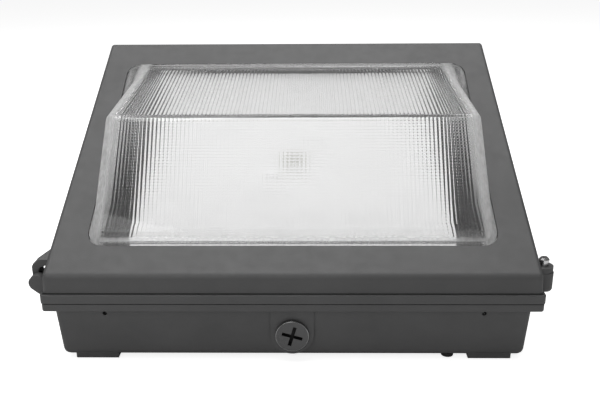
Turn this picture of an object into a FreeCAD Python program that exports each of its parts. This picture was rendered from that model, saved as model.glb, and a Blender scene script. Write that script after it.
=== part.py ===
import FreeCAD, Part
import os
import re
import Sketcher
from FreeCAD import Placement, Rotation, Vector

# Wall pack light, lying on its back.  +X is to the right of someone facing its lower edge,
# -Y is the lower edge as hung, +Z points out of the wall.  The origin is the centre of the
# mounting plane.  Lengths are in millimetres and angles in degrees.

SIZES = [
    # housing
    ("flange_width", 363.4, "rim of the housing, side to side"),
    ("flange_depth", 240.8, "rim of the housing, bottom to top"),
    ("pad_height", 3, "stand-off pads behind the back wall"),
    ("body_height", 41.9, "back wall to the underside of the rim"),
    ("body_width", 350, "housing box under the rim"),
    ("body_depth", 225.4, "housing box under the rim"),
    ("body_draft", 3.5, "draft of the housing walls"),
    ("wall", 3.2, "cast wall"),
    ("floor_wall", 3.5, "back wall"),
    ("lower_band", 5.7, "lower step of the rim"),
    ("upper_band", 7.4, "upper step of the rim"),
    ("band_inset", 0.4, "how far the lower step stands in"),
    ("groove_width", 0.8, "shadow groove between the steps"),
    ("groove_inset", 1.2, "how far the shadow groove stands in"),
    ("flange_corner", 3, "rim corner in plan"),
    ("body_corner", 4, "housing box corner in plan"),
    ("foot_round", 6, "edge round the back wall"),
    ("rim_round", 0.8, "top outer edge of the rim"),
    ("pad_width", 32, "stand-off pad, side to side"),
    ("pad_length", 30, "stand-off pad, bottom to top"),
    ("pad_round", 1.2, "lower edges of a stand-off pad"),
    ("bolt_spacing_x", 294.6, "mounting holes, side to side"),
    ("bolt_spacing_y", 188, "mounting holes, bottom to top"),
    ("bolt_hole", 3.3, "mounting hole radius"),
    ("entry_radius", 10.65, "half inch conduit thread, radius"),
    ("entry_wall", 14.8, "boss round a conduit entry, radius"),
    ("entry_length", 9.5, "rear entry thread, along its axis"),
    ("boss_radius", 15.9, "boss of a plugged entry"),
    ("boss_height", 22.8, "axis of the plugged entries above the wall plane"),
    ("boss_proud", 0.9, "boss face in front of the box at the rim"),
    ("boss_inside", 12.4, "thread length of a plugged entry"),
    ("weep_x", 139, "weep holes, either side of the middle"),
    ("weep_shift", 1.3, "weep holes, both to the right"),
    ("weep_z", 39.7, "weep holes above the wall plane"),
    ("weep_radius", 1.65, "weep hole"),
    ("spare_x", 117, "plugged spare hole"),
    ("spare_y", 102.4, "plugged spare hole, below the middle"),
    ("spare_radius", 3, "plugged spare hole"),
    ("post_radius", 4.8, "posts on the back wall"),
    ("post_height", 6, "posts on the back wall"),
    ("post_hole", 1.6, "thread in a post, radius"),
    # perimeter seal
    ("seal_width", 3.4, "perimeter seal"),
    ("seal_depth", 2.2, "groove for the perimeter seal"),
    ("seal_gap", 0.2, "seal under the door's edge"),
    ("seal_clear", 0.1, "seal beside its groove"),
    # door
    ("door_gap", 0.8, "parting gap over the rim"),
    ("door_inset", 2.1, "door's edge inside the rim's"),
    ("door_draft", 2, "draft of the door walls"),
    ("near_rise", 13.3, "height of the door at its low edge"),
    ("face_angle", 30.5, "slope of the door face"),
    ("near_round", 6, "low edge of the door face"),
    ("door_round", 3.2, "other edges and corners of the door"),
    ("window_width", 305.6, "lens opening, side to side"),
    ("window_length", 207.9, "lens opening, up the slope"),
    ("window_start", 27, "low edge of the door face to the opening"),
    ("window_corner", 13, "lens opening corner"),
    # lens, in the plane of the door face
    ("glass", 3.5, "glass wall"),
    ("lens_clear", 0.9, "glass inside the opening"),
    ("lens_lip", 6, "rim of the glass behind the door face"),
    ("lens_low", 149.5, "half width of the glass dome at its low end"),
    ("lens_high", 136, "half width of the glass dome at its high end"),
    ("ridge_at", 91.8, "low edge of the opening to the ridge"),
    ("ridge_height", 45.5, "ridge above the door face"),
    ("brow_at", 189.2, "low edge of the opening to the end of the upper face"),
    ("brow_height", 8, "end of the upper face above the door face"),
    ("ridge_round", 4, "ridge of the glass"),
    ("lens_corner", 12, "upright corner of the glass dome"),
    ("gasket", 1.5, "lens gasket thickness"),
    ("gasket_width", 4.6, "lens gasket"),
    ("clip_metal", 1.5, "lens clip thickness"),
    ("clip_width", 18, "lens clip"),
    ("clip_grip", 5, "lens clip over the glass"),
    ("clip_boss", 4.6, "boss under a lens clip, radius"),
    ("clip_offset", 7.8, "boss axis outside the glass rim"),
    # LED tray and what carries it
    ("tray_width", 245, "white tray, side to side"),
    ("tray_length", 188, "white tray, up the slope"),
    ("tray_start", 27.2, "low edge of the door face to the tray"),
    ("tray_drop", 9, "tray below the door face"),
    ("tray_metal", 1.5, "tray and bracket sheet"),
    ("tray_skirt", 13, "turned-down sides of the tray"),
    ("bracket_low", 72, "bracket foot, below the middle"),
    ("bracket_high", 62, "bracket foot, above the middle"),
    ("foot_width", 13, "bracket foot"),
    ("board_width", 50, "aluminium plate of the light source"),
    ("board_height", 2, "aluminium plate of the light source"),
    ("source_width", 24, "light source substrate"),
    ("source_height", 1.2, "light source substrate"),
    ("emitter_radius", 8.5, "light emitting disc"),
    ("emitter_height", 0.5, "light emitting disc"),
    ("source_up", 91, "low edge of the tray to the middle of the light source"),
    ("board_screw_at", 18, "plate screws from the middle of the plate"),
    # driver
    ("driver_length", 118, "driver case, side to side"),
    ("driver_width", 56, "driver case, bottom to top"),
    ("driver_height", 30, "driver case"),
    ("driver_wall", 1.2, "driver case sheet"),
    ("driver_y", 48, "driver, below the middle"),
    ("driver_ear", 14, "driver case mounting ear"),
    # hinges
    ("hinge_out", 4.3, "hinge axis outside the rim"),
    ("hinge_up", 4.7, "hinge axis above the rim"),
    ("hinge_reach", 104, "inner face of the housing's hinge ears"),
    ("hinge_ear", 6, "thickness of the housing's hinge ears"),
    ("hinge_clear", 0.4, "between ear, knuckle and door wall"),
    ("knuckle_radius", 4.6, "door knuckle"),
    ("knuckle_length", 11, "door knuckle"),
    ("arm_metal", 4.6, "arm from the door to its knuckle"),
    ("pin_radius", 2, "hinge pin"),
    ("pin_fit", 0.05, "running clearance of the pin, radial"),
    ("pin_seat", 4.5, "pin in the housing ear"),
    # latches
    ("latch_out", 1.5, "latch screw axis outside the rim"),
    ("latch_reach", 101, "latch screws from the middle"),
    ("lug_radius", 7, "latch lug and ear"),
    ("lug_drop", 4, "latch lug below the top of the rim"),
    ("lug_round", 3, "lower outer edge of the latch lug"),
    ("lug_height", 11.2, "latch lug above the rim"),
    ("ear_gap", 0.15, "latch ear above its lug"),
    ("ear_metal", 4, "latch ear"),
    ("latch_thread", 2, "latch screw shank radius"),
    ("latch_grip", 9, "latch screw in its lug"),
    ("collar_radius", 2.8, "retaining collar under the head"),
    ("collar_height", 3, "retaining collar under the head"),
    ("latch_head", 3.7, "latch screw head radius"),
    ("latch_head_height", 3.2, "latch screw head"),
    ("latch_slot", 1.1, "slot across the latch screw head"),
    # plugs
    ("plug_head", 12.3, "conduit plug head radius"),
    ("plug_head_height", 2.2, "conduit plug head"),
    ("plug_shank", 11.5, "conduit plug thread length"),
    ("plug_fit", 0.1, "conduit plug thread clearance, radial"),
    ("plug_slot_length", 14.6, "cross slot in the plug"),
    ("plug_slot_width", 2.3, "cross slot in the plug"),
    ("plug_slot_depth", 1.5, "cross slot in the plug"),
    ("plug_turn", 16, "how far the cross slot stands turned"),
    ("washer", 0.6, "sealing washer under a plug"),
    ("bung_head", 4.65, "rubber bung head radius"),
    # small screws
    ("screw_radius", 1.5, "small screw shank"),
    ("screw_head", 3.2, "small screw head radius"),
    ("screw_head_height", 2, "small screw head"),
    ("screw_fit", 0.1, "small screw clearance, radial"),
]

DOC = FreeCAD.newDocument("wall_pack_light")
SHEET = DOC.addObject("Spreadsheet::Sheet", "Sizes")
ALIASES = {alias for alias, number, note in SIZES}
for row, (alias, number, note) in enumerate(SIZES, 1):
    SHEET.set(f"A{row}", note)
    SHEET.set(f"B{row}", str(number))
    SHEET.setAlias(f"B{row}", alias)
DOC.recompute()

PARTS = []


def tied(text):
    """The expression with each size's name pointing at its cell."""
    return re.sub(r"[a-z_]+", lambda m: "Sizes." + m.group() if m.group() in ALIASES else m.group(), text)


def value(text):
    """What an expression comes to now."""
    return float(SHEET.evalExpression(tied(text)))


# Levels and places that several pieces share, as expressions of the sizes
FLOOR = "(pad_height + floor_wall)"
POST_TOP = f"({FLOOR} + post_height)"
FLANGE_BASE = "(pad_height + body_height)"
BAND_SPLIT = f"({FLANGE_BASE} + lower_band)"
FLANGE_TOP = f"({BAND_SPLIT} + upper_band)"
FOOT_X = "(body_width / 2 - body_height * tan(body_draft))"
FOOT_Y = "(body_depth / 2 - body_height * tan(body_draft))"
DOOR_BASE = f"({FLANGE_TOP} + door_gap)"
DOOR_X = "(flange_width / 2 - door_inset)"
DOOR_Y = "(flange_depth / 2 - door_inset)"
NEAR_Y = f"(near_rise * tan(door_draft) - {DOOR_Y})"
NEAR_Z = f"({DOOR_BASE} + near_rise)"
DOOR_RISE = f"(near_rise + 2 * {DOOR_Y} * tan(face_angle))"
HINGE_X = "(flange_width / 2 + hinge_out)"
HINGE_Z = f"({FLANGE_TOP} + hinge_up)"
EAR_RADIUS = "(hinge_out + door_inset - hinge_clear)"
LATCH_X = "(flange_width / 2 + latch_out)"
LUG_TOP = f"({FLANGE_TOP} + lug_height)"
EAR_TOP = f"({LUG_TOP} + ear_gap + ear_metal)"
BOSS_Y = "(body_depth / 2 + boss_proud)"
BOSS_X = "(body_width / 2 + boss_proud)"
SEAL_X = f"({DOOR_X} - wall / 2 - seal_width / 2)"
SEAL_Y = f"({DOOR_Y} - wall / 2 - seal_width / 2)"
LENS_TOP = "(0 - wall - gasket)"
LENS_BOTTOM = f"({LENS_TOP} - glass)"
LENS_RIM_X = "(window_width / 2 + lens_lip)"
WINDOW_END = "(window_start + window_length)"
CLIP_X = f"({LENS_RIM_X} + clip_offset)"
CLIP_LOW = "(window_start - lens_lip - clip_offset)"
CLIP_HIGH = f"({WINDOW_END} + lens_lip + clip_offset)"
TRAY_UNDER = "(tray_drop + tray_metal)"
SOURCE_UP = "(tray_start + source_up)"
FOOT_AT = "(tray_width / 2 - 2 * tray_metal - foot_width / 2)"
DRIVER_POST = "(driver_length / 2 + driver_ear / 2)"


def slope(y, below="0"):
    """Height over the wall plane of a surface parallel to the door face."""
    return f"({NEAR_Z} + ({y} - {NEAR_Y}) * tan(face_angle) - ({below}) / cos(face_angle))"


class Piece:
    """A body and the steps it is made by."""

    def __init__(self, label, on_face=False):
        self.body = DOC.addObject("PartDesign::Body", label)
        self.body.Label = label
        if on_face:
            put_on_face(self.body)

    def sketch(self, plane, offset="0"):
        """A sketch on one of the body's own planes: XY looks down, XZ faces -Y, YZ faces +X."""
        drawing = self.body.newObject("Sketcher::SketchObject", "Outline")
        role = f"{plane}_Plane"
        support = next(f for f in self.body.Origin.OriginFeatures if f.Role == role)
        drawing.AttachmentSupport = [(support, "")]
        drawing.MapMode = "FlatFace"
        drawing.setExpression("AttachmentOffset.Base.z", tied(offset))
        return drawing

    def feature(self, kind, sketch, length, reverse=False, midplane=False):
        step = self.body.newObject(f"PartDesign::{kind}", kind)
        step.Profile = sketch
        step.setExpression("Length", tied(length))
        step.Reversed = reverse
        if midplane:
            step.SideType = "Symmetric"
        DOC.recompute()
        return step

    def pad(self, sketch, length, reverse=False):
        """Material added along the sketch's normal, or against it."""
        return self.feature("Pad", sketch, length, reverse)

    def draft(self, angle, widening):
        """Upright walls leaned out or in as they rise, from the lowest face."""
        base = self.body.Tip
        bottom = base.Shape.BoundBox.ZMin
        faces = list(enumerate(base.Shape.Faces, 1))
        step = self.body.newObject("PartDesign::Draft", "Draft")
        step.Base = (base, [f"Face{i}" for i, face in faces if abs(face.normalAt(0, 0).z) < 0.5])
        step.NeutralPlane = (base, [f"Face{i}" for i, face in faces if near(face.BoundBox.ZMax, bottom)])
        step.setExpression("Angle", tied(angle))
        step.Reversed = widening
        DOC.recompute()
        return step

    def cut(self, sketch, length, reverse=False, midplane=False):
        """Material removed against the sketch's normal, or along it."""
        before = self.body.Shape.Volume
        step = self.feature("Pocket", sketch, length, reverse, midplane)
        if self.body.Shape.Volume >= before:
            raise RuntimeError(f"a cut in {self.body.Label} removes nothing")
        return step

    def spin(self, sketch):
        """Material turned about the sketch's own upright axis."""
        step = self.body.newObject("PartDesign::Revolution", "Turned")
        step.Profile = sketch
        step.ReferenceAxis = (sketch, ["V_Axis"])
        step.Angle = 360
        DOC.recompute()
        return step

    def finish_edges(self, kind, radius, test):
        """Fillet or Chamfer on every edge that passes the test."""
        base = self.body.Tip
        names = [f"Edge{i}" for i, edge in enumerate(base.Shape.Edges, 1) if test(edge)]
        step = self.body.newObject(f"PartDesign::{kind}", kind)
        step.Base = (base, names)
        step.setExpression("Radius" if kind == "Fillet" else "Size", tied(radius))
        DOC.recompute()
        return step

    def round(self, radius, test):
        return self.finish_edges("Fillet", radius, test)


def put_on_face(item):
    """Places something modelled flat in the plane of the door face, its y up the slope."""
    item.Placement = Placement(Vector(0, 0, 0), Rotation(Vector(1, 0, 0), value("face_angle")))
    item.setExpression("Placement.Base.y", tied(NEAR_Y))
    item.setExpression("Placement.Base.z", tied(NEAR_Z))
    item.setExpression("Placement.Rotation.Angle", tied("face_angle"))


def on_face(x, up, out):
    """A point of the door face frame, in the object's own frame."""
    place = Placement(Vector(0, value(NEAR_Y), value(NEAR_Z)), Rotation(Vector(1, 0, 0), value("face_angle")))
    return place.multVec(Vector(value(x), value(up), value(out)))


def held(sketch, kind, geometry, point, expression):
    """A dimension from the sketch's origin to a point, tied to an expression."""
    index = sketch.addConstraint(Sketcher.Constraint(kind, -1, 1, geometry, point, value(expression)))
    sketch.setExpression(f"Constraints[{index}]", tied(expression))


def polygon(sketch, points):
    """A closed outline through points that are pairs of expressions."""
    first = sketch.GeometryCount
    corners = [Vector(value(a), value(b), 0) for a, b in points]
    count = len(corners)
    lines = [Part.LineSegment(corners[i], corners[(i + 1) % count]) for i in range(count)]
    sketch.addGeometry(lines)
    for i, (a, b) in enumerate(points):
        sketch.addConstraint(Sketcher.Constraint("Coincident", first + i, 2, first + (i + 1) % count, 1))
        held(sketch, "DistanceX", first + i, 1, a)
        held(sketch, "DistanceY", first + i, 1, b)
    return sketch


def rectangle(sketch, x_low, y_low, x_high, y_high):
    return polygon(sketch, [(x_low, y_low), (x_high, y_low), (x_high, y_high), (x_low, y_high)])


def centred(sketch, half_x, half_y):
    return rectangle(sketch, f"0 - {half_x}", f"0 - {half_y}", half_x, half_y)


def circle(sketch, x, y, radius):
    index = sketch.addGeometry(Part.Circle(Vector(value(x), value(y), 0), Vector(0, 0, 1), value(radius)))
    held(sketch, "DistanceX", index, 3, x)
    held(sketch, "DistanceY", index, 3, y)
    size = sketch.addConstraint(Sketcher.Constraint("Radius", index, value(radius)))
    sketch.setExpression(f"Constraints[{size}]", tied(radius))
    return sketch


def middle(edge):
    return edge.valueAt((edge.FirstParameter + edge.LastParameter) / 2)


def is_upright(edge):
    along = edge.Vertexes[-1].Point - edge.Vertexes[0].Point
    return along.Length > 1e-6 and abs(along.z) / along.Length > 0.9


def near(a, b):
    return abs(a - b) < 1e-3


def cut_from(label, base, tools):
    """The base with each tool cut from it in turn."""
    for tool in tools:
        step = DOC.addObject("Part::Cut", label)
        step.Base = base
        step.Tool = tool
        base = step
    DOC.recompute()
    base.Label = label
    return base


def joined(label, pieces):
    step = DOC.addObject("Part::MultiFuse", label)
    step.Shapes = pieces
    DOC.recompute()
    step.Label = label
    return step


def copies(label, pattern, places):
    """One node of separate, identical solids."""
    node = DOC.addObject("Part::Feature", label)
    node.Shape = Part.makeCompound([placed(pattern.Shape, place) for place in places])
    node.Label = label
    return node


def placed(shape, place):
    copy = shape.copy()
    copy.Placement = place
    return copy


def keep(item):
    """Marks an item as a sub-part that is written out."""
    PARTS.append(item)
    return item


# Housing

def housing():
    piece = Piece("housing")
    foot = centred(piece.sketch("XY", "pad_height"), FOOT_X, FOOT_Y)
    piece.pad(foot, "body_height")
    piece.draft("body_draft", widening=True)
    piece.round("body_corner", is_upright)
    back = value("pad_height")
    piece.round("foot_round", lambda edge: near(edge.BoundBox.ZMax, back))
    housing_rim(piece)
    inner = centred(piece.sketch("XY", FLANGE_TOP), f"({FOOT_X} - wall)", f"({FOOT_Y} - wall)")
    piece.cut(inner, f"{FLANGE_TOP} - {FLOOR}")
    housing_inside(piece)
    housing_entries(piece)
    housing_back(piece)
    for side in (-1, 1):
        hinge_ear(piece, side)
        latch_lug(piece, side)
    housing_seal_groove(piece)
    return keep(piece.body)


def stands_out(edge):
    """Whether an edge of the rim lies outside the box under it."""
    box = edge.BoundBox
    x, y = max(-box.XMin, box.XMax), max(-box.YMin, box.YMax)
    return x > value("body_width / 2 + 1") or y > value("body_depth / 2 + 1")


def housing_rim(piece):
    """Two steps with a shadow groove between them."""
    steps = [
        (FLANGE_BASE, "lower_band", "band_inset"),
        (BAND_SPLIT, "groove_width", "groove_inset"),
        (f"{BAND_SPLIT} + groove_width", "upper_band - groove_width", "0"),
    ]
    for level, height, inset in steps:
        drawing = piece.sketch("XY", level)
        piece.pad(centred(drawing, f"(flange_width / 2 - {inset})", f"(flange_depth / 2 - {inset})"), height)
    base, top = value(FLANGE_BASE), value(FLANGE_TOP)
    piece.round("flange_corner", lambda edge: (
        is_upright(edge) and middle(edge).z > base and stands_out(edge)))
    piece.round("rim_round", lambda edge: stands_out(edge) and (
        near(edge.BoundBox.ZMin, top) or near(edge.BoundBox.ZMax, base)))


def entry_boss(piece, plane, face, reverse):
    """Boss of a plugged entry: round below, straight up to the rim."""
    block = rectangle(piece.sketch(plane, face), "0 - boss_radius", "boss_height", "boss_radius", FLANGE_BASE)
    piece.pad(block, "boss_inside", reverse=reverse)
    round_end = circle(piece.sketch(plane, face), "0", "boss_height", "boss_radius")
    piece.pad(round_end, "boss_inside", reverse=reverse)


def housing_seal_groove(piece):
    drawing = piece.sketch("XY", FLANGE_TOP)
    centred(drawing, SEAL_X, SEAL_Y)
    centred(drawing, f"({SEAL_X} + seal_width)", f"({SEAL_Y} + seal_width)")
    piece.cut(drawing, "seal_depth")


def post_places():
    """Posts under the bracket feet and the driver's ears."""
    feet = [(f"{side} * {FOOT_AT}", y) for side in (-1, 1) for y in ("16 - bracket_low", "bracket_high - 16")]
    ears = [(f"{side} * {DRIVER_POST}", "0 - driver_y") for side in (-1, 1)]
    return feet + ears


def housing_inside(piece):
    for x, y in post_places():
        piece.pad(circle(piece.sketch("XY", FLOOR), x, y, "post_radius"), "post_height")
        piece.cut(circle(piece.sketch("XY", POST_TOP), x, y, "post_hole"), "post_height - 1")
    piece.pad(circle(piece.sketch("XY", FLOOR), "0", "0", "entry_wall"), "entry_length - floor_wall")


def housing_entries(piece):
    """Bosses and bores of the lower, side and rear conduit entries, and the weep holes."""
    entry_boss(piece, "XZ", BOSS_Y, True)
    piece.cut(circle(piece.sketch("XZ", BOSS_Y), "0", "boss_height", "entry_radius"), "boss_inside + wall")
    for side in (-1, 1):
        face = f"{side} * {BOSS_X}"
        entry_boss(piece, "YZ", face, side > 0)
        piece.cut(circle(piece.sketch("YZ", face), "0", "boss_height", "entry_radius"),
                  "boss_inside + wall", reverse=side < 0)
        weep = circle(piece.sketch("XZ", "body_depth / 2"), f"weep_shift + {side} * weep_x", "weep_z", "weep_radius")
        piece.cut(weep, "4 * wall")
    rear = circle(piece.sketch("XY", "pad_height + entry_length"), "0", "0", "entry_radius")
    piece.cut(rear, "entry_length")


def housing_back(piece):
    """Stand-off pads with the mounting holes, and the spare hole."""
    pads = piece.sketch("XY")
    for x in (-1, 1):
        for y in (-1, 1):
            at_x, at_y = f"{x} * bolt_spacing_x / 2", f"{y} * bolt_spacing_y / 2"
            rectangle(pads, f"{at_x} - pad_width / 2", f"{at_y} - pad_length / 2",
                      f"{at_x} + pad_width / 2", f"{at_y} + pad_length / 2")
    piece.pad(pads, "pad_height + 0.8 * floor_wall")
    under = value("pad_height")
    piece.round("pad_round", lambda edge: edge.BoundBox.ZMax < under - 0.1)
    holes = piece.sketch("XY")
    for x in (-1, 1):
        for y in (-1, 1):
            circle(holes, f"{x} * bolt_spacing_x / 2", f"{y} * bolt_spacing_y / 2", "bolt_hole")
    circle(holes, "spare_x", "0 - spare_y", "spare_radius")
    piece.cut(holes, FLOOR, reverse=True)


def hinge_ear(piece, side):
    """Round ear, tapering down to the rim, with a blind bore for the pin."""
    start = f"{-side} * hinge_reach"
    x, z = f"0 - {HINGE_X}", HINGE_Z
    diagonal = f"{EAR_RADIUS} * cos(45)"
    piece.pad(circle(piece.sketch("XZ", start), x, z, EAR_RADIUS), "hinge_ear", reverse=side > 0)
    root = polygon(piece.sketch("XZ", start), [
        (f"{x} - {diagonal}", f"{z} - {diagonal}"),
        ("0 - flange_width / 2", f"{BAND_SPLIT} + groove_width"),
        ("wall - flange_width / 2", f"{BAND_SPLIT} + groove_width"),
        ("wall - flange_width / 2", FLANGE_TOP),
        (f"{x} + {diagonal}", f"{z} - {diagonal}"),
    ])
    piece.pad(root, "hinge_ear", reverse=side > 0)
    bore = circle(piece.sketch("XZ", start), x, z, "pin_radius + pin_fit / 2")
    piece.cut(bore, "pin_seat", reverse=side < 0)


def latch_lug(piece, side):
    """Lug beside the door that the latch screw threads into."""
    start = f"{-side} * (latch_reach + {side} * lug_radius)"
    outer = f"{LATCH_X} + lug_radius"
    inner = f"{DOOR_X} + hinge_clear"
    under = f"({FLANGE_TOP} - lug_drop)"
    outline = polygon(piece.sketch("XZ", start), [
        ("flange_width / 2 - wall", under),
        (outer, under),
        (outer, LUG_TOP),
        (inner, LUG_TOP),
        (inner, FLANGE_TOP),
        ("flange_width / 2 - wall", FLANGE_TOP),
    ])
    piece.pad(outline, "2 * lug_radius")
    edge_x = value(outer)
    piece.round("lug_radius - 2", lambda edge: (
        is_upright(edge) and near(middle(edge).x, edge_x) and middle(edge).y * side > 0))
    bottom = value(under)
    piece.round("lug_round", lambda edge: (
        near(edge.BoundBox.ZMax, bottom) and edge.BoundBox.XMax > edge_x - 0.1 and (
            middle(edge).y * side > 0) and edge.BoundBox.XMin > edge_x - value("lug_radius")))
    bore = circle(piece.sketch("XY", LUG_TOP), LATCH_X, f"{side} * latch_reach", "latch_thread + pin_fit")
    piece.cut(bore, "latch_grip + 1")


def perimeter_seal():
    piece = Piece("perimeter_seal")
    drawing = piece.sketch("XY", f"{FLANGE_TOP} - seal_depth")
    centred(drawing, f"({SEAL_X} + seal_clear)", f"({SEAL_Y} + seal_clear)")
    centred(drawing, f"({SEAL_X} + seal_width - seal_clear)", f"({SEAL_Y} + seal_width - seal_clear)")
    piece.pad(drawing, "seal_depth + door_gap - seal_gap")
    return keep(piece.body)


def conduit_plug(label, place, turn):
    """Round headed plug with a cross slot, its washer seated on the boss."""
    piece = Piece(label)
    profile = polygon(piece.sketch("XZ"), [
        ("0", "0 - plug_shank"), ("entry_radius - plug_fit - 1", "0 - plug_shank"),
        ("entry_radius - plug_fit", "1 - plug_shank"), ("entry_radius - plug_fit", "washer"),
        ("plug_head", "washer"), ("plug_head", "washer + plug_head_height"), ("0", "washer + plug_head_height"),
    ])
    piece.spin(profile)
    top = value("washer + plug_head_height")
    piece.round("0.45 * plug_head_height", lambda edge: near(edge.BoundBox.ZMin, top))
    slots = piece.sketch("XY", "washer + plug_head_height")
    half, arm = "plug_slot_length / 2", "plug_slot_width / 2"
    polygon(slots, [
        (f"0 - {half}", f"0 - {arm}"), (f"0 - {arm}", f"0 - {arm}"), (f"0 - {arm}", f"0 - {half}"),
        (arm, f"0 - {half}"), (arm, f"0 - {arm}"), (half, f"0 - {arm}"),
        (half, arm), (arm, arm), (arm, half), (f"0 - {arm}", half), (f"0 - {arm}", arm), (f"0 - {half}", arm),
    ])
    piece.cut(slots, "plug_slot_depth")
    piece.body.Placement = place.multiply(Placement(Vector(0, 0, 0), Rotation(Vector(0, 0, 1), turn)))
    return keep(piece.body)


def plug_washer(label, place):
    piece = Piece(label)
    drawing = piece.sketch("XY")
    circle(drawing, "0", "0", "plug_head - washer")
    circle(drawing, "0", "0", "entry_radius")
    piece.pad(drawing, "washer")
    piece.body.Placement = place
    return keep(piece.body)


def conduit_plugs():
    height = value("boss_height")
    seats = {
        "lower": Placement(Vector(0, -value(BOSS_Y), height), Rotation(Vector(1, 0, 0), 90)),
        "left": Placement(Vector(-value(BOSS_X), 0, height), Rotation(Vector(0, 1, 0), -90)),
        "right": Placement(Vector(value(BOSS_X), 0, height), Rotation(Vector(0, 1, 0), 90)),
    }
    for name, place in seats.items():
        conduit_plug(f"{name}_conduit_plug", place, -value("plug_turn"))
        plug_washer(f"{name}_plug_washer", place)


def hole_bung():
    """Rubber bung in the spare hole of the back wall."""
    piece = Piece("hole_bung")
    profile = polygon(piece.sketch("XZ"), [
        ("0", "0.3"), ("bung_head", "0.3"), ("bung_head", "pad_height"), ("spare_radius - screw_fit", "pad_height"),
        ("spare_radius - screw_fit", FLOOR), ("spare_radius + 0.8", FLOOR),
        ("spare_radius - 0.4", f"{FLOOR} + 2"), ("0", f"{FLOOR} + 2"),
    ])
    piece.spin(profile)
    piece.body.setExpression("Placement.Base.x", tied("spare_x"))
    piece.body.setExpression("Placement.Base.y", tied("0 - spare_y"))
    return keep(piece.body)


def hinge_pin(label, side):
    piece = Piece(label)
    start = f"{-side} * (hinge_reach + pin_seat - screw_fit)"
    drawing = circle(piece.sketch("XZ", start), f"0 - {HINGE_X}", HINGE_Z, "pin_radius")
    piece.pad(drawing, "pin_seat + hinge_clear + knuckle_length + 1", reverse=side < 0)
    piece.finish_edges("Chamfer", "pin_radius / 4", lambda edge: len(edge.Vertexes) == 1)
    return keep(piece.body)


# Inside the housing

def driver():
    case = Piece("driver_case")
    half = ("driver_length / 2", "driver_width / 2")
    y = "0 - driver_y"
    bottom = f"{FLOOR} + 1"
    case.pad(rectangle(case.sketch("XY", bottom), f"0 - {half[0]}", f"{y} - {half[1]}",
                       half[0], f"{y} + {half[1]}"), "driver_height - driver_wall")
    case.cut(rectangle(case.sketch("XY", f"{bottom} + driver_height - driver_wall"),
                       f"driver_wall - {half[0]}", f"{y} + driver_wall - {half[1]}",
                       f"{half[0]} - driver_wall", f"{y} + {half[1]} - driver_wall"),
             "driver_height - 2 * driver_wall")
    for side in (-1, 1):
        ear = case.sketch("XY", POST_TOP)
        rectangle(ear, *sorted_pair(f"{side} * (driver_length / 2)", f"{side} * (driver_length / 2 + driver_ear)",
                                    f"{y} - driver_ear / 2", f"{y} + driver_ear / 2", side))
        case.pad(ear, "driver_wall")
        hole = circle(case.sketch("XY", f"{POST_TOP} + driver_wall"), f"{side} * {DRIVER_POST}", y,
                      "screw_radius + screw_fit")
        case.cut(hole, "driver_wall")
    keep(case.body)
    lid = Piece("driver_lid")
    lid.pad(rectangle(lid.sketch("XY", f"{bottom} + driver_height - driver_wall"), f"0 - {half[0]}",
                      f"{y} - {half[1]}", half[0], f"{y} + {half[1]}"), "driver_wall")
    keep(lid.body)


def sorted_pair(x_a, x_b, y_low, y_high, side):
    """Corners of a rectangle whose x runs outward on either side."""
    return (x_a, y_low, x_b, y_high) if side > 0 else (x_b, y_low, x_a, y_high)


def tray():
    """White sheet pan under the lens, in the plane of the door face."""
    piece = Piece("led_tray", on_face=True)
    half = "tray_width / 2"
    end = "(tray_start + tray_length)"
    piece.pad(rectangle(piece.sketch("XY", f"0 - {TRAY_UNDER}"), f"0 - {half}", "tray_start", half, end),
              "tray_metal")
    for side in (-1, 1):
        wall = piece.sketch("XY", f"0 - {TRAY_UNDER}")
        rectangle(wall, *sorted_pair(f"{side} * ({half} - tray_metal)", f"{side} * {half}",
                                     "tray_start", end, side))
        piece.pad(wall, "tray_skirt", reverse=True)
        holes = piece.sketch("YZ", f"{side} * {half}")
        for up in tray_screw_ups():
            circle(holes, up, TRAY_SCREW_DROP, "screw_radius + screw_fit")
        piece.cut(holes, "tray_metal", reverse=side < 0)
    piece.cut(circle(piece.sketch("XY", "0 - tray_drop"), "0", SOURCE_UP, "emitter_radius"), "tray_metal")
    board_holes(piece, "0 - tray_drop", "tray_metal")
    return keep(piece.body)


TRAY_SCREW_DROP = f"(0 - {TRAY_UNDER} - tray_skirt / 2)"


def board_screw_places():
    return [(f"{n} * board_screw_at", f"({SOURCE_UP} + {n} * board_screw_at)") for n in (-1, 1)]


def board_holes(piece, level, depth):
    holes = piece.sketch("XY", level)
    for x, up in board_screw_places():
        circle(holes, x, up, "screw_radius + screw_fit")
    piece.cut(holes, depth)


def tray_screw_ups():
    return ("tray_start + tray_length / 4", "tray_start + 3 * tray_length / 4")


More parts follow.
